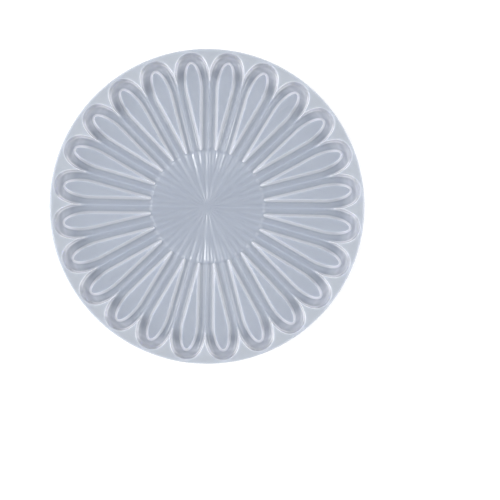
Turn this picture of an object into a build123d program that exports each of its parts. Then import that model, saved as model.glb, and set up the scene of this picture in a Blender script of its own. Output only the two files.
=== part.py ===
from build123d import *
import os
from math import acos, asin, cos, degrees, hypot, radians, sin, tan

# One-piece silicone mould for a flower coaster. Millimetres, +Z up, origin at the centre of the
# underside. The cavity opens upwards, and +X runs along the ridge between two petals.

# Disc
OUTER_RADIUS = 75.0
HEIGHT = 10.5
FLOOR = 2.9                 # silicone left under the deepest part of the cavity
RIM_ROUND = 0.6             # rounding of the disc's outer edges

# Petals
PETALS = 24
PITCH = 360.0 / PETALS
PETAL_TIP = 73.55           # radius of a petal's tip, at the top of the cavity
CUSP = 62.3                 # where the land between two petals comes to its point, along a petal's axis
TIP_ROUND = 7.6             # radius of the petal's end
WALL_DRAFT = 3.5            # degrees
LIP = 0.35                  # 45 degree break of the cavity's upper edge
COVE_RISE = 1.5             # height of the slope at the foot of the wall
COVE_RUN = 1.2              # how far that slope reaches into the cavity
POCKET_START = 30.0         # inner end of each petal's pocket, inside the round middle pocket
MIDDLE_POCKET = 48.0        # radius of the round pocket that joins the petals
CUT_ABOVE = 1.0             # how far each pocket's cutter stands out of the disc's top

# Raised drop in each petal, which leaves the recess in the casting
DROP_CENTRE = 59.0          # widest place, along the petal's axis
DROP_HALF_LENGTH = 10.13    # from the widest place to the tip, half way up the side
DROP_HALF_WIDTH = 3.57
DROP_APEX = 28.7            # inner point, half way up the side
DROP_SIDE = 1.28            # run of the sloping side
DROP_RISE = 2.6             # height above the floor

# Rib between two petals
RIB_RISE = 0.9
RIB_HALF_WIDTH = 1.5
RIB_END = 68.0              # outer end, inside the land

# Low hub in the middle, where the drops end, and the rays that run in from the ribs and drops
HUB_RADIUS = 27.3
HUB_RISE = 0.35
HUB_SLOPE = 0.3             # run of the hub's sloping edge
DROP_RAY_RISE = 0.65        # height above the floor where a drop's ray starts
DROP_RAY_HALF_WIDTH = 0.9
RAY_END = 6.0               # the rays have sunk into the hub here
RAY_SINK = 0.05


def petal_outline(reach):
    """Top outline of a petal's pocket lying along +X, grown outwards by reach: two side arcs and an
    end arc, tangent to each other, and straight sides that run inwards from the cusp."""
    half_width = CUSP * tan(radians(PITCH / 2)) + reach
    end_radius = TIP_ROUND + reach
    end_centre = PETAL_TIP - TIP_ROUND
    run = end_centre - CUSP
    # The end arc's circle lies inside the side arc's circle and touches it where the arcs meet. The
    # side arc is parallel to the axis at the cusp, where the straight side takes over.
    side_radius = (run ** 2 + half_width ** 2 - end_radius ** 2) / (2 * (half_width - end_radius))
    side_centre_y = half_width - side_radius
    turn = asin(run / (side_radius - end_radius))
    touch = Vector(end_centre + end_radius * sin(turn), end_radius * cos(turn))
    tip = Vector(PETAL_TIP + reach, 0)
    middle_of_side = Vector(
        CUSP + side_radius * sin(turn / 2),
        side_centre_y + side_radius * cos(turn / 2),
    )
    cusp = Vector(CUSP, half_width)
    start = Vector(POCKET_START, half_width)
    mirrored = [Vector(p.X, -p.Y) for p in (start, cusp, middle_of_side, touch)]
    edges = [
        Line(start, cusp),
        ThreePointArc(cusp, middle_of_side, touch),
        ThreePointArc(touch, tip, mirrored[3]),
        ThreePointArc(mirrored[3], mirrored[2], mirrored[1]),
        Line(mirrored[1], mirrored[0]),
        Line(mirrored[0], start),
    ]
    return make_face(edges)


def petal_slice(top, bottom, reach_top, reach_bottom):
    """The part of a petal's pocket between two heights, with sloping walls."""
    upper = Pos(0, 0, top) * petal_outline(reach_top)
    lower = Pos(0, 0, bottom) * petal_outline(reach_bottom)
    return loft([lower, upper], ruled=True)


def petal_pocket():
    """One petal's pocket: broken upper edge, drafted wall and sloping foot."""
    wall_foot = FLOOR + COVE_RISE
    draft = (HEIGHT - wall_foot) * tan(radians(WALL_DRAFT))
    lip = petal_slice(HEIGHT + CUT_ABOVE, HEIGHT - LIP, LIP + CUT_ABOVE, 0)
    wall = petal_slice(HEIGHT - LIP, wall_foot, 0, -draft)
    foot = petal_slice(wall_foot, FLOOR, -draft, -draft - COVE_RUN)
    return lip + wall + foot


def drop_outline(reach):
    """Outline of a raised drop along +X, grown by reach: an ellipse's end and two tangent lines that
    meet at the inner point."""
    half_length = DROP_HALF_LENGTH + reach
    half_width = DROP_HALF_WIDTH + reach
    taper = asin(DROP_HALF_WIDTH / hypot(DROP_CENTRE - DROP_APEX, DROP_HALF_WIDTH))
    apex = DROP_APEX - reach / sin(taper)
    turn = degrees(acos(-half_length / (DROP_CENTRE - apex)))
    end = EllipticalCenterArc((DROP_CENTRE, 0), half_length, half_width, -turn, arc_size=2 * turn)
    edges = [Line((apex, 0), end @ 0), end, Line(end @ 1, (apex, 0))]
    return make_face(edges)


def drop():
    """One raised drop, with a flat top that becomes a falling ridge towards the hub."""
    base = Pos(0, 0, FLOOR) * drop_outline(DROP_SIDE / 2)
    top = Pos(0, 0, FLOOR + DROP_RISE) * drop_outline(-DROP_SIDE / 2)
    return split(loft([base, top], ruled=True), Plane.YZ.offset(HUB_RADIUS), keep=Keep.TOP)


def rib():
    """Low ridge on the line between two petals."""
    section = Plane.YZ * make_face(
        Polyline(
            (-RIB_HALF_WIDTH, FLOOR),
            (RIB_HALF_WIDTH, FLOOR),
            (0, FLOOR + RIB_RISE),
            close=True,
        )
    )
    return Pos(HUB_RADIUS, 0, 0) * extrude(section, RIB_END - HUB_RADIUS)


def hub():
    """Low disc in the middle that the drops and ribs run into."""
    profile = Plane.XZ * make_face(
        Polyline(
            (0, FLOOR),
            (HUB_RADIUS + HUB_SLOPE, FLOOR),
            (HUB_RADIUS, FLOOR + HUB_RISE),
            (0, FLOOR + HUB_RISE),
            close=True,
        )
    )
    return revolve(profile, Axis.Z)


def ray(half_width, rise):
    """Low ridge on the hub, which narrows and sinks towards the middle."""
    section = Plane.YZ * make_face(
        Polyline((-half_width, FLOOR), (half_width, FLOOR), (0, FLOOR + rise), close=True)
    )
    end = Vertex(RAY_END, 0, FLOOR + HUB_RISE - RAY_SINK)
    return loft([Pos(HUB_RADIUS, 0, 0) * section, end], ruled=True)


def around(shape, first_angle):
    """Copies of a shape, one for each petal."""
    return [Rot(0, 0, first_angle + i * PITCH) * shape for i in range(PETALS)]


def disc():
    """Plain disc with rounded outer edges."""
    blank = Cylinder(OUTER_RADIUS, HEIGHT, align=(Align.CENTER, Align.CENTER, Align.MIN))
    return fillet(blank.edges().filter_by(GeomType.CIRCLE), RIM_ROUND)


def silicone_mould():
    """The whole mould: the disc less its pockets, with the relief of the cavity's floor."""
    middle = Pos(0, 0, FLOOR) * Cylinder(
        MIDDLE_POCKET, HEIGHT, align=(Align.CENTER, Align.CENTER, Align.MIN)
    )
    body = disc() - around(petal_pocket(), PITCH / 2) - middle
    rib_ray = ray(RIB_HALF_WIDTH, RIB_RISE)
    drop_ray = ray(DROP_RAY_HALF_WIDTH, DROP_RAY_RISE)
    body = body + hub() + around(rib(), 0) + around(drop(), PITCH / 2)
    return body + around(rib_ray, 0) + around(drop_ray, PITCH / 2)


os.makedirs("parts", exist_ok=True)
mould = silicone_mould()
mould.label = "silicone_mould"
export_step(mould, "parts/silicone_mould.step")
print("silicone_mould", mould.is_valid, round(mould.volume), len(mould.faces()), "faces")
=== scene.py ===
import math

import bmesh
import bpy
import numpy as np
from mathutils import Matrix, Vector


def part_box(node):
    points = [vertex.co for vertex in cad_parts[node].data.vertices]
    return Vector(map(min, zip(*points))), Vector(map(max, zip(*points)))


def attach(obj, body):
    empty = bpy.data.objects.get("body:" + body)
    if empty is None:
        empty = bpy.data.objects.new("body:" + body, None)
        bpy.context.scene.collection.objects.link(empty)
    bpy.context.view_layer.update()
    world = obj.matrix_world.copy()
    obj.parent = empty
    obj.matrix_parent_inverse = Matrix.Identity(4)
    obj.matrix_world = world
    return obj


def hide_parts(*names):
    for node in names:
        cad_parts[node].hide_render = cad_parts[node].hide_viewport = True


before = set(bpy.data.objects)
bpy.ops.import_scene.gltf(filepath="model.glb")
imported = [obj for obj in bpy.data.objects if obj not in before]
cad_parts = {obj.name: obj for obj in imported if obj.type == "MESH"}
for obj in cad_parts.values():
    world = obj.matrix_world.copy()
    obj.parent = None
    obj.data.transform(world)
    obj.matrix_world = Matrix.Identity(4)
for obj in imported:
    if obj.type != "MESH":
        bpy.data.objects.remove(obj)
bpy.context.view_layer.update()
node_low, node_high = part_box("silicone_mould")

# ---------------------------------------------------------------- sizes of the mould, in millimetres
MM = 0.001
OUTER_RADIUS = (node_high.x - node_low.x) / 2 / MM
HEIGHT = (node_high.z - node_low.z) / MM
CENTRE_X = (node_high.x + node_low.x) / 2 / MM
CENTRE_Y = (node_high.y + node_low.y) / 2 / MM
BASE_Z = node_low.z / MM

FLOOR = 2.9                 # silicone under the deepest part of the cavity
RIM_ROUND = 0.6             # rounding of the disc's outer edges

PETALS = 24
HALF_PITCH = math.pi / PETALS
PETAL_TIP = 73.55           # radius of a petal's tip at the top of its wall
TIP_ROUND = 7.6             # radius of the petal's end
CUSP = 62.3                 # where two petals meet, along a petal's axis
CUSP_BLEND = 0.5            # softening of the edge where two petals meet
LIP_ROUND = 0.45            # rounding of the cavity's upper edge
WALL_DRAFT = math.radians(3.5)
COVE_RISE = 1.7             # hollow rounding at the foot of the wall
COVE_RUN = 1.95             # how far the hollow rounding reaches into the cavity

DROP_CENTRE = 59.0          # widest place of a raised drop
DROP_HALF_LENGTH = 10.13    # from there to its tip, half way up the side
DROP_HALF_WIDTH = 3.57      # at the widest place
DROP_APEX = 28.7            # its inner point, half way up the side
DROP_SIDE = 1.28            # run of its sloping side
DROP_RISE = 2.6             # height above the cavity's floor
DROP_EDGE_BLEND = 0.4       # softening of the drop's upper edge
DROP_FOOT_BLEND = 1.2       # softening of the drop's foot
DROP_SWELL = 0.25           # how much wider the soft drop stands than its outline
DROP_BLUNT_RUN = 0.45       # run of the drop's blunt inner end, on the hub's edge

RIB_RISE = 0.9              # ridge between two petals
RIB_REACH = 1.7             # how far its hollow flank reaches from the ridge line
RIB_BLEND = 0.5             # softening of the ridge line

HUB_RADIUS = 27.3           # the drops end here, on a low hub
HUB_RISE = 0.35             # height above the cavity's floor
HUB_SLOPE = 1.4             # run of the hub's sloping edge
HUB_BLEND = 0.12            # softening of the hub's edge
RIB_RAY_RISE = 0.3          # height above the hub where a rib's ray starts, at the hub's edge
RIB_RAY_FADE = 10.0         # the rib's ray fades quickly inside this radius
RIB_RAY_LEFT = 0.45         # share of its height left there
RIB_RAY_END = 5.7           # the rib's ray has gone here
DROP_RAY_RISE = 0.3         # height above the hub where a drop's ray starts
DROP_RAY_END = 14.0         # the drop's ray has gone here
RAYS_NARROW = 20.0          # outside this radius a rib's ray reaches half as far to each side

# Where the mesh has its points
GRID_START = 28.9           # where the grid of the petals takes over from the rings of the hub
HUB_EDGE_RINGS = np.array([28.3, 27.95, 27.7, 27.45, 27.2, 26.95, 26.6, 26.1])
HUB_RINGS = np.concatenate([HUB_EDGE_RINGS, np.linspace(25, 2, 11)])
UNDER_RINGS = np.array([62, 46, 32, 20, 10, 2])
CUSP_RAYS_FROM = [46, 52]   # the grid's rays get closer together between these, towards the cusp
RAY_SPACING = [2.1, 0.8]    # distance between rays before and after that
RAY_TURN = math.radians(4.6)            # turn between rays on the drop's round end
SIDE_SAMPLES = 400          # places tried for rays along a drop's straight side
END_SAMPLES = 1200          # places tried round its end
RAY_SAMPLES = 600           # places tried along a ray when it looks for the wall
# Rows of points, as shares of the way across each part
TOP_SHARES = np.array([0.0, 0.6])       # from the drop's axis to its side
SIDE_SHARES = np.array([-1.45, -1.22, -1.0, -0.78, -0.4, 0, 0.4, 0.74, 1.0, 1.26, 1.55])
SIDE_ROWS = DROP_SWELL + DROP_SIDE / 2 * SIDE_SHARES    # from half way up the side, either way
GROOVE_SHARES = np.array([0.25, 0.5, 0.74, 0.91])       # from the drop's side to the wall's foot
WALL_SHARES = np.array([0.3, 0.7])      # down the straight part of the wall
LAND_SHARES = np.array([0.5, 1.0])      # from the wall to the rim
RIM_SIDE_SHARES = [0.75, 0.5, 0.25]     # down the disc's outer side
LIP_POINTS = 5
COVE_POINTS = 7
RIM_POINTS = 6
WELD = 0.004                # points closer than this become one
PARALLEL = 1e-9             # directions closer than this count as parallel
ON_RIM = 1e-6               # points closer than this to the rim's rounding lie on it


# ---------------------------------------------------------------- shape of the cavity
def smooth_min(a, b, blend):
    """The lower of two heights, with their meeting rounded over a height of blend."""
    near = np.maximum(blend - np.abs(a - b), 0) / blend
    return np.minimum(a, b) - near ** 2 * blend / 4


def smooth_max(a, b, blend):
    """The higher of two heights, with their meeting rounded in the same way."""
    return -smooth_min(-a, -b, blend)


class Pocket:
    """Top outline of one petal along +X: an end arc, two wide side arcs and straight sides."""

    half_width = CUSP * math.tan(HALF_PITCH)
    end_x = PETAL_TIP - TIP_ROUND
    run = end_x - CUSP
    side_radius = (run ** 2 + half_width ** 2 - TIP_ROUND ** 2) / (2 * (half_width - TIP_ROUND))
    side_y = half_width - side_radius
    turn = math.asin(run / (side_radius - TIP_ROUND))


def outside_pocket(x, y):
    """Distance from one petal's outline, negative inside it."""
    y = np.abs(y)
    past_joint = math.sin(Pocket.turn) * y < math.cos(Pocket.turn) * (x - Pocket.end_x)
    end = np.hypot(x - Pocket.end_x, y) - TIP_ROUND
    side = np.hypot(x - CUSP, y - Pocket.side_y) - Pocket.side_radius
    straight = y - Pocket.half_width
    return np.where(past_joint, end, np.where(x > CUSP, side, straight))


def inside_petals(x, y):
    """Distance inside the joined outline of a petal and its neighbour at positive y."""
    turned_x = x * math.cos(2 * HALF_PITCH) + y * math.sin(2 * HALF_PITCH)
    turned_y = y * math.cos(2 * HALF_PITCH) - x * math.sin(2 * HALF_PITCH)
    return -smooth_min(outside_pocket(x, y), outside_pocket(turned_x, turned_y), CUSP_BLEND)


def wall_profile():
    """Distances inside the outline and the wall's heights there: lip, drafted wall and cove."""
    lip = np.linspace(0, math.pi / 2, LIP_POINTS)
    lip_inside = LIP_ROUND * (np.sin(lip) - 1)
    lip_height = HEIGHT - LIP_ROUND * (1 - np.cos(lip))
    foot = FLOOR + COVE_RISE
    draft = (HEIGHT - LIP_ROUND - foot) * math.tan(WALL_DRAFT)
    wall_inside = draft * WALL_SHARES
    wall_height = HEIGHT - LIP_ROUND - (HEIGHT - LIP_ROUND - foot) * WALL_SHARES
    cove = np.linspace(0, math.pi / 2, COVE_POINTS)
    cove_inside = draft + COVE_RUN * (1 - np.cos(cove))
    cove_height = FLOOR + COVE_RISE * (1 - np.sin(cove))
    inside = np.concatenate([lip_inside, wall_inside, cove_inside])
    height = np.concatenate([lip_height, wall_height, cove_height])
    return inside, height


WALL_INSIDE, WALL_HEIGHT = wall_profile()


def drop_height(outside):
    """Height of the floor near a raised drop, from the distance outside its outline."""
    side = DROP_RISE * (DROP_SIDE / 2 + DROP_SWELL - outside) / DROP_SIDE
    top = smooth_min(side, DROP_RISE, DROP_EDGE_BLEND)
    return FLOOR + np.maximum(smooth_max(top, 0.0, DROP_FOOT_BLEND), 0)


def crest(across, reach):
    """Section of a ridge with hollow flanks, from 1 on its line to 0 at its foot."""
    soft = np.sqrt(across ** 2 + RIB_BLEND ** 2)
    return np.clip(1 - soft / reach, 0, 1) ** 2


def rib_height(x, y):
    """Height of the hollow flank that rises to the ridge between two petals."""
    across = np.abs(x * math.sin(HALF_PITCH) - y * math.cos(HALF_PITCH))
    return FLOOR + RIB_RISE * crest(across, RIB_REACH)


def soft_ridge(offset, reach):
    """Section of a soft ridge, from 1 on its line to 0 at its reach."""
    return (1 + np.cos(math.pi * np.clip(offset / reach, 0, 1))) / 2


def hub_height(x, y):
    """Height of the hub, with soft rays that run in from the ribs and drops and fade out."""
    radius = np.hypot(x, y)
    angle = np.abs(np.arctan2(y, x))
    rib_fade = np.interp(radius, [RIB_RAY_END, RIB_RAY_FADE, HUB_RADIUS], [0, RIB_RAY_LEFT, 1])
    drop_fade = np.interp(radius, [DROP_RAY_END, HUB_RADIUS], [0, 1])
    rib_reach = HALF_PITCH * np.interp(radius, [DROP_RAY_END, RAYS_NARROW], [1, 0.5])
    rib_ray = RIB_RAY_RISE * rib_fade * soft_ridge(HALF_PITCH - angle, rib_reach)
    drop_ray = DROP_RAY_RISE * drop_fade * soft_ridge(angle, HALF_PITCH / 2)
    edge = FLOOR + HUB_RISE * (HUB_RADIUS + HUB_SLOPE / 2 - radius) / HUB_SLOPE
    flat = smooth_min(FLOOR + HUB_RISE, edge, HUB_BLEND)
    return flat + np.where(radius < HUB_RADIUS + HUB_SLOPE, rib_ray + drop_ray, 0)


def surface_height(x, y, outside_drop):
    """Height of the upper surface at a place in a petal's half at positive y."""
    wall = np.interp(inside_petals(x, y), WALL_INSIDE, WALL_HEIGHT)
    drop_starts = np.clip((np.hypot(x, y) - HUB_RADIUS) / DROP_BLUNT_RUN + 0.5, 0, 1)
    drop = FLOOR + (drop_height(outside_drop) - FLOOR) * drop_starts
    floor = np.maximum(drop, rib_height(x, y))
    floor = smooth_max(floor, hub_height(x, y), HUB_BLEND)
    return np.maximum(floor, wall)


# ---------------------------------------------------------------- rays that carry the grid
# The upper surface is a grid. Its rays leave a drop's outline at right angles, from the drop's axis to
# the line between two petals or to the rim, so that its rows follow the drop and the wall.
DROP_REACH = DROP_CENTRE - DROP_APEX
DROP_TOUCH = math.acos(-DROP_HALF_LENGTH / DROP_REACH)  # angle on the ellipse where the side starts


def drop_taper():
    """Angle between a drop's straight side and its axis."""
    touch_x = DROP_HALF_LENGTH ** 2 / DROP_REACH
    touch_y = DROP_HALF_WIDTH * math.sqrt(1 - (touch_x / DROP_HALF_LENGTH) ** 2)
    return math.atan2(touch_y, DROP_REACH - touch_x)


TAPER = drop_taper()


def side_station(share):
    """A point of the drop's straight side and the outward direction there. The share runs from 0 at
    the hub to 1 at the end's ellipse."""
    touch_x = DROP_CENTRE + DROP_HALF_LENGTH * math.cos(DROP_TOUCH)
    x = GRID_START + (touch_x - GRID_START) * share
    point = np.array([x, (x - DROP_APEX) * math.tan(TAPER)])
    normal = np.array([-math.sin(TAPER), math.cos(TAPER)])
    return point, normal


def end_station(share):
    """A point of the end's ellipse and the outward direction there. The share runs from 1 at the
    straight side to 0 at the tip."""
    angle = DROP_TOUCH * share
    point = np.array([
        DROP_CENTRE + DROP_HALF_LENGTH * math.cos(angle),
        DROP_HALF_WIDTH * math.sin(angle),
    ])
    normal = np.array([math.cos(angle) / DROP_HALF_LENGTH, math.sin(angle) / DROP_HALF_WIDTH])
    return point, normal / np.linalg.norm(normal)


def stations():
    """Rays from the drop's axis outwards, evenly spaced in length and in turn."""
    dense = [side_station(share) for share in np.linspace(0, 1, SIDE_SAMPLES, endpoint=False)]
    dense += [end_station(share) for share in np.linspace(1, 0, END_SAMPLES)]
    points = np.array([point for point, _ in dense])
    turns = np.array([math.atan2(normal[1], normal[0]) for _, normal in dense])
    length = np.hypot(*np.diff(points, axis=0).T)
    spacing = np.interp(points[1:, 0], CUSP_RAYS_FROM, RAY_SPACING)
    measure = length / spacing + np.abs(np.diff(turns)) / RAY_TURN
    total = np.concatenate([[0], np.cumsum(measure)])
    count = int(round(total[-1])) + 1
    picked = np.searchsorted(total, np.linspace(0, total[-1], count))
    return [dense[min(i, len(dense) - 1)] for i in picked]


def outer_limit(point, normal):
    """Distance along a ray to the line between two petals or to the start of the outer rounding."""
    side = np.array([math.sin(HALF_PITCH), -math.cos(HALF_PITCH)])
    land_radius = OUTER_RADIUS - RIM_ROUND
    along = point @ normal
    to_rim = -along + math.sqrt(along ** 2 - point @ point + land_radius ** 2)
    approach = -(normal @ side)
    if approach < PARALLEL:
        return to_rim
    return min(to_rim, (point @ side) / approach)


def ray_rows(point, normal):
    """Distances outside the drop's outline of the points on one ray, from the axis outwards."""
    if normal[1] > PARALLEL:
        start = -point[1] / normal[1]
    else:
        # The ray at the tip lies along the axis, and starts where its neighbours cross it.
        start = -DROP_HALF_WIDTH ** 2 / DROP_HALF_LENGTH
    start = max(start, -np.hypot(*point))
    limit = outer_limit(point, normal)
    sample = np.linspace(SIDE_ROWS[-1], limit, RAY_SAMPLES)
    inside = inside_petals(point[0] + sample * normal[0], point[1] + sample * normal[1])
    inside = np.minimum.accumulate(inside)
    wall = np.interp(-WALL_INSIDE[::-1], -inside, sample, right=limit)
    foot = wall[0] if inside[0] > WALL_INSIDE[-1] else SIDE_ROWS[-1]
    groove = SIDE_ROWS[-1] + (foot - SIDE_ROWS[-1]) * GROOVE_SHARES
    top = start + (SIDE_ROWS[0] - start) * TOP_SHARES
    land = wall[-1] + (limit - wall[-1]) * LAND_SHARES
    rows = np.concatenate([top, SIDE_ROWS, groove, wall, land])
    return np.clip(rows, start, limit)


def petal_grid():
    """Places of the points of half a petal, one row for each ray, and their distances outside the
    drop's outline."""
    rays = stations()
    rows = np.array([ray_rows(point, normal) for point, normal in rays])
    places = np.array([point + np.outer(row, normal) for (point, normal), row in zip(rays, rows)])
    # One ray ends exactly where the line between two petals meets the rim.
    corner = (OUTER_RADIUS - RIM_ROUND) * np.array([math.cos(HALF_PITCH), math.sin(HALF_PITCH)])
    nearest = np.argmin(np.hypot(*(places[:, -1] - corner).T))
    places[nearest, -1] = corner
    return places, rows


def with_height(places, outside_drop):
    """Places in plan, with the surface's height added."""
    x, y = places[..., 0], places[..., 1]
    height = surface_height(x, y, outside_drop)
    return np.concatenate([places, height[..., None]], axis=-1)


# ---------------------------------------------------------------- mesh
class MeshBuilder:
    """Collects points and faces, and repeats a half petal round the disc."""

    def __init__(self):
        self.points = []
        self.faces = []

    def add(self, points, faces):
        start = sum(len(p) for p in self.points)
        self.points.append(np.asarray(points, float))
        self.faces += [[start + i for i in face] for face in faces]

    def add_around(self, points, faces):
        """A half petal, its mirror image, and all their copies."""
        for i in range(PETALS):
            angle = HALF_PITCH * (2 * i + 1)
            turn = np.array([[math.cos(angle), -math.sin(angle)], [math.sin(angle), math.cos(angle)]])
            for flip in (1, -1):
                placed = points.copy()
                placed[:, :2] = (points[:, :2] * [1, flip]) @ turn.T
                self.add(placed, faces if flip == 1 else [face[::-1] for face in faces])


def grid_faces(rows, columns):
    """Faces of a grid whose points are stored row by row."""
    return [
        [i * columns + j, (i + 1) * columns + j, (i + 1) * columns + j + 1, i * columns + j + 1]
        for i in range(rows - 1)
        for j in range(columns - 1)
    ]


def hub_rings(first_ray):
    """Points of half a petal's share of the hub, on arcs that shrink towards the middle."""
    angles = np.arctan2(first_ray[:, 1], first_ray[:, 0])
    radius, angle = np.meshgrid(HUB_RINGS, angles, indexing="ij")
    places = np.stack([radius * np.cos(angle), radius * np.sin(angle)], axis=-1)
    outside_drop = places[..., 1] * math.cos(TAPER) - (places[..., 0] - DROP_APEX) * math.sin(TAPER)
    return with_height(places, outside_drop)


def side_profile():
    """Radii and heights down the outside, from the start of the upper rounding to the underside."""
    turn = np.linspace(0, math.pi / 2, RIM_POINTS)
    inner = OUTER_RADIUS - RIM_ROUND
    upper = [inner + RIM_ROUND * np.sin(turn), HEIGHT - RIM_ROUND * (1 - np.cos(turn))]
    middle = [[OUTER_RADIUS, HEIGHT * share] for share in RIM_SIDE_SHARES]
    lower = [inner + RIM_ROUND * np.cos(turn), RIM_ROUND * (1 - np.sin(turn))]
    return np.concatenate([np.stack(upper, axis=1), middle, np.stack(lower, axis=1)])


def mould_mesh():
    """The whole mould as one closed mesh."""
    builder = MeshBuilder()
    places, rows = petal_grid()
    upper = with_height(places, rows)
    hub = hub_rings(places[0])
    # The hub's arcs run from the outside in, so they are turned round to lead into the first ray.
    grid = np.concatenate([hub[::-1], upper])
    columns = grid.shape[1]
    builder.add_around(grid.reshape(-1, 3), grid_faces(len(grid), columns))
    rim = places[:, -1]
    on_rim = np.hypot(rim[:, 0], rim[:, 1]) > OUTER_RADIUS - RIM_ROUND - ON_RIM
    angles = np.arctan2(rim[on_rim, 1], rim[on_rim, 0])
    under = np.stack([UNDER_RINGS, np.zeros(len(UNDER_RINGS))], axis=1)
    profile = np.concatenate([side_profile(), under])
    radius, angle = np.meshgrid(profile[:, 0], angles, indexing="ij")
    height = np.repeat(profile[:, 1:2], len(angles), axis=1)
    side = np.stack([radius * np.cos(angle), radius * np.sin(angle), height], axis=-1)
    side_faces = [face[::-1] for face in grid_faces(len(profile), len(angles))]
    builder.add_around(side.reshape(-1, 3), side_faces)
    return builder


def close_middle(mesh):
    """Fills the small round holes left at the centre of the hub and of the underside."""
    open_edges = [edge for edge in mesh.edges if edge.is_boundary]
    bmesh.ops.holes_fill(mesh, edges=open_edges, sides=0)


def mesh_object(name, builder):
    """An object with a closed, smooth-shaded mesh in metres."""
    mesh = bpy.data.meshes.new(name)
    points = np.concatenate(builder.points)
    points = (points + [CENTRE_X, CENTRE_Y, BASE_Z]) * MM
    mesh.from_pydata(points.tolist(), [], builder.faces)
    work = bmesh.new()
    work.from_mesh(mesh)
    bmesh.ops.remove_doubles(work, verts=work.verts, dist=WELD * MM)
    close_middle(work)
    bmesh.ops.recalc_face_normals(work, faces=work.faces)
    for face in work.faces:
        face.smooth = True
    work.to_mesh(mesh)
    work.free()
    made = bpy.data.objects.new(name, mesh)
    bpy.context.scene.collection.objects.link(made)
    return made


# ---------------------------------------------------------------- material
# Colour by height, as a share of the mould's height; darker low down: painted shade in the cavity's
# hollows
BODY_STOPS = [
    (0.27, (0.314, 0.344, 0.404)),
    (0.53, (0.335, 0.364, 0.421)),
    (1.0, (0.384, 0.411, 0.455)),
]
SIDE_PAINTED_GLOW = (0.530, 0.548, 0.592)      # colour of steep faces: a painted glow, paler than the body
TIP_PAINTED_GLOW = (0.760, 0.768, 0.812)       # the same near the outside, a brighter painted glow
OUTER_PAINTED_GLOW = (0.545, 0.571, 0.634)     # colour of the floor near the outside: a painted glow for light through the thin outer wall
RIM_COLOUR = (0.402, 0.433, 0.482)     # colour of the disc's outer side
STEEP_FROM = 0.92           # upward part of the normal where a face starts to take the painted glow
STEEP_TO = 0.5              # and where the painted glow is full
# Painted glow of steep faces by distance from the axis, as a share of the mould's radius
STEEP_PAINTED_GLOW_STOPS = [
    (0.82, SIDE_PAINTED_GLOW),
    (0.91, TIP_PAINTED_GLOW),
    (0.94, TIP_PAINTED_GLOW),
    (0.965, SIDE_PAINTED_GLOW),
    (0.982, SIDE_PAINTED_GLOW),
    (0.992, RIM_COLOUR),
]
# Share of the painted outer glow in the floor's colour, by the same distance
OUTER_PAINTED_GLOW_STOPS = [
    (0.86, 0.0),
    (0.91, 0.45),
    (0.925, 0.7),
    (0.942, 0.5),
    (0.965, 0.9),
]
GLOW_FADES = 0.4            # share of the height where the floor's painted glow starts to fade
GLOW_ENDS = 0.48            # and where it has gone
NOISE_BAND = (0.3, 0.7)     # most of a noise lies between these
CLOUD_SCALE = 45.0          # faint cloudiness inside the silicone
CLOUD_DETAIL = 3.0
CLOUD_SHADES = (0.975, 1.0)
GLOSS_SCALE = 160.0         # patches of the satin surface
GLOSS_DETAIL = 4.0
ROUGHNESS = (0.17, 0.21)
SILICONE_IOR = 1.41
SCATTER_RADIUS = (1.0, 1.0, 1.1)
SCATTER_SCALE = 0.003       # metres


def greys(stops):
    """Stops of a colour ramp from (place, value) pairs."""
    return [(place, (value,) * 3) for place, value in stops]


def ramp(tree, factor, stops):
    """A colour ramp over a factor, from (place, colour) pairs."""
    node = tree.nodes.new("ShaderNodeValToRGB")
    node.color_ramp.interpolation = "EASE"
    while len(node.color_ramp.elements) < len(stops):
        node.color_ramp.elements.new(0.5)
    for element, (place, colour) in zip(node.color_ramp.elements, stops):
        element.position = place
        element.color = (*colour, 1)
    tree.links.new(factor, node.inputs["Fac"])
    return node.outputs["Color"]


def mix(tree, kind, factor, first, second):
    """Two colours mixed by a factor that is a number or a socket."""
    node = tree.nodes.new("ShaderNodeMix")
    node.data_type = "RGBA"
    node.blend_type = kind
    if isinstance(factor, float):
        node.inputs["Factor"].default_value = factor
    else:
        tree.links.new(factor, node.inputs["Factor"])
    tree.links.new(first, node.inputs["A"])
    if isinstance(second, tuple):
        node.inputs["B"].default_value = (*second, 1)
    else:
        tree.links.new(second, node.inputs["B"])
    return node.outputs["Result"]


def uneven(tree, coordinates, scale, detail, limits):
    """A value that wanders between two limits over the surface, by a noise of the scale given."""
    node = tree.nodes.new("ShaderNodeTexNoise")
    node.inputs["Scale"].default_value = scale
    node.inputs["Detail"].default_value = detail
    tree.links.new(coordinates, node.inputs["Vector"])
    return ramp(tree, node.outputs["Fac"], greys(zip(NOISE_BAND, limits)))


def map_range(tree, value, start, end):
    """A smooth step: 0 where the socket's value is start, 1 where it is end, which may be lower."""
    node = tree.nodes.new("ShaderNodeMapRange")
    node.interpolation_type = "SMOOTHSTEP"
    node.inputs["From Min"].default_value = start
    node.inputs["From Max"].default_value = end
    tree.links.new(value, node.inputs["Value"])
    return node.outputs["Result"]


def scaled(tree, value, factor):
    """A socket times a number or another socket."""
    node = tree.nodes.new("ShaderNodeMath")
    node.operation = "MULTIPLY"
    tree.links.new(value, node.inputs[0])
    if isinstance(factor, float):
        node.inputs[1].default_value = factor
    else:
        tree.links.new(factor, node.inputs[1])
    return node.outputs[0]


def split_xyz(tree, vector):
    """The three parts of a vector, by the names X, Y and Z."""
    node = tree.nodes.new("ShaderNodeSeparateXYZ")
    tree.links.new(vector, node.inputs["Vector"])
    return node.outputs


def axis_distance(tree, coordinates):
    """Distance from the mould's axis."""
    flat = tree.nodes.new("ShaderNodeVectorMath")
    flat.operation = "MULTIPLY"
    flat.inputs[1].default_value = (1, 1, 0)
    tree.links.new(coordinates, flat.inputs[0])
    length = tree.nodes.new("ShaderNodeVectorMath")
    length.operation = "LENGTH"
    tree.links.new(flat.outputs["Vector"], length.inputs[0])
    return length.outputs["Value"]


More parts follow.
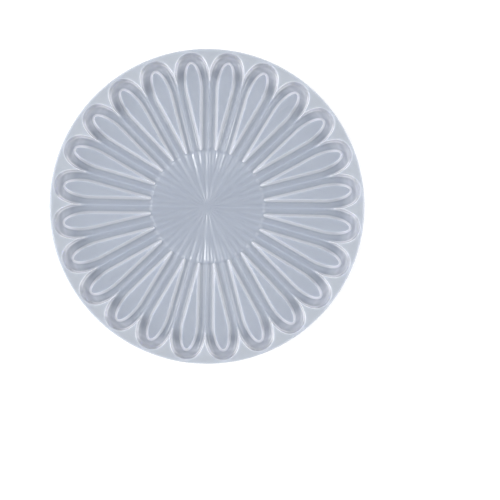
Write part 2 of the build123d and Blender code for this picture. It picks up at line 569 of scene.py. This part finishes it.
def silicone():
    """Milky platinum-cure silicone. Light inside it comes out on steep faces and through the thin wall
    outside the petals; these are painted paler in the base colour, a painted glow. Low faces in the
    cavity are painted darker, as painted shade."""
    material = bpy.data.materials.new("silicone")
    material.use_nodes = True
    tree = material.node_tree
    shader = tree.nodes["Principled BSDF"]
    coordinates = tree.nodes.new("ShaderNodeTexCoord").outputs["Object"]
    height = scaled(tree, split_xyz(tree, coordinates)["Z"], 1 / (HEIGHT * MM))
    radius = scaled(tree, axis_distance(tree, coordinates), 1 / (OUTER_RADIUS * MM))
    normal = tree.nodes.new("ShaderNodeNewGeometry").outputs["Normal"]
    # Steep faces are painted paler: a painted glow for light that comes out of the silicone there
    steep = map_range(tree, split_xyz(tree, normal)["Z"], STEEP_FROM, STEEP_TO)
    # The low floor near the outside is painted paler: a painted glow for light through the thin wall
    # there
    low = map_range(tree, height, GLOW_ENDS, GLOW_FADES)
    outer = scaled(tree, ramp(tree, radius, greys(OUTER_PAINTED_GLOW_STOPS)), low)
    # Body colour by height, darker low down as painted shade, mixed with the painted outer glow
    colour = mix(tree, "MIX", outer, ramp(tree, height, BODY_STOPS), OUTER_PAINTED_GLOW)
    colour = mix(tree, "MIX", steep, colour, ramp(tree, radius, STEEP_PAINTED_GLOW_STOPS))
    cloud = uneven(tree, coordinates, CLOUD_SCALE, CLOUD_DETAIL, CLOUD_SHADES)
    colour = mix(tree, "MULTIPLY", 1.0, colour, cloud)
    tree.links.new(colour, shader.inputs["Base Color"])
    gloss = uneven(tree, coordinates, GLOSS_SCALE, GLOSS_DETAIL, ROUGHNESS)
    tree.links.new(gloss, shader.inputs["Roughness"])
    shader.inputs["IOR"].default_value = SILICONE_IOR
    shader.inputs["Subsurface Weight"].default_value = 1.0
    shader.inputs["Subsurface Radius"].default_value = SCATTER_RADIUS
    shader.inputs["Subsurface Scale"].default_value = SCATTER_SCALE
    return material


# ---------------------------------------------------------------- studio, in metres
STUDIO_FLOOR_REACH = 3.0    # half the side of the floor
STUDIO_FLOOR_GAP = 0.0001   # how far the floor lies under the mould
STUDIO_FLOOR_ROUGHNESS = 0.9
WORLD_STRENGTH = 0.64
WHITE = (1, 1, 1, 1)
AIM = (0, 0, 0)             # every light points here
# Name, place, size and power in watts. The wide ones are soft boxes. The small ones give the narrow
# glints on the rays that run up and down the picture.
LIGHTS = [
    ("key", (-1.0, 0.0, 0.9), (1.2, 1.5), 15.6),
    ("fill", (1.0, 0.0, 0.9), (1.2, 1.5), 10.1),
    ("left_lamp", (-0.4, 0.0, 0.9), (0.015, 0.02), 1.1),
    ("right_lamp", (0.4, 0.0, 0.9), (0.015, 0.02), 1.1),
]
SENSOR_WIDTH = 36           # millimetres
CAMERA_ABOVE = 0.7          # height over the mould's top
FRAME_WIDTH = 0.2378        # width of the picture at the mould's top
CAMERA_TURN = math.radians(1.0)
CAMERA_ASIDE = (0.0205, -0.0208)        # from the mould's axis, before the turn


def studio_floor():
    """Plain white floor under the mould."""
    work = bmesh.new()
    bmesh.ops.create_grid(work, x_segments=1, y_segments=1, size=STUDIO_FLOOR_REACH)
    mesh = bpy.data.meshes.new("studio_floor")
    work.to_mesh(mesh)
    work.free()
    made = bpy.data.objects.new("studio_floor", mesh)
    made.location.z = BASE_Z * MM - STUDIO_FLOOR_GAP
    bpy.context.scene.collection.objects.link(made)
    material = bpy.data.materials.new("studio_floor")
    material.use_nodes = True
    shader = material.node_tree.nodes["Principled BSDF"]
    shader.inputs["Base Color"].default_value = WHITE
    shader.inputs["Roughness"].default_value = STUDIO_FLOOR_ROUGHNESS
    made.data.materials.append(material)


def area_light(name, place, size, power):
    """A rectangular light that points at the mould."""
    data = bpy.data.lights.new(name, "AREA")
    data.shape = "RECTANGLE"
    data.size, data.size_y = size
    data.energy = power
    made = bpy.data.objects.new(name, data)
    made.location = place
    made.rotation_euler = (Vector(AIM) - Vector(place)).to_track_quat("-Z", "Y").to_euler()
    bpy.context.scene.collection.objects.link(made)


def camera():
    """Straight above. The disc stands up and to the left in the picture, turned a little."""
    data = bpy.data.cameras.new("camera")
    data.sensor_width = SENSOR_WIDTH
    data.lens = CAMERA_ABOVE * SENSOR_WIDTH / FRAME_WIDTH
    place = Vector((*CAMERA_ASIDE, HEIGHT * MM + CAMERA_ABOVE))
    made = bpy.data.objects.new("camera", data)
    made.rotation_euler.z = CAMERA_TURN
    made.location = Matrix.Rotation(CAMERA_TURN, 3, "Z") @ place
    bpy.context.scene.collection.objects.link(made)
    bpy.context.scene.camera = made


def surroundings():
    """Even white light from all round, and a plain view transform."""
    world = bpy.data.worlds.new("studio")
    world.use_nodes = True
    world.node_tree.nodes["Background"].inputs["Color"].default_value = WHITE
    world.node_tree.nodes["Background"].inputs["Strength"].default_value = WORLD_STRENGTH
    bpy.context.scene.world = world
    bpy.context.scene.view_settings.view_transform = "Standard"


mould = mesh_object("mould", mould_mesh())
mould.data.materials.append(silicone())
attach(mould, "root")
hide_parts("silicone_mould")

studio_floor()
for light in LIGHTS:
    area_light(*light)
camera()
surroundings()
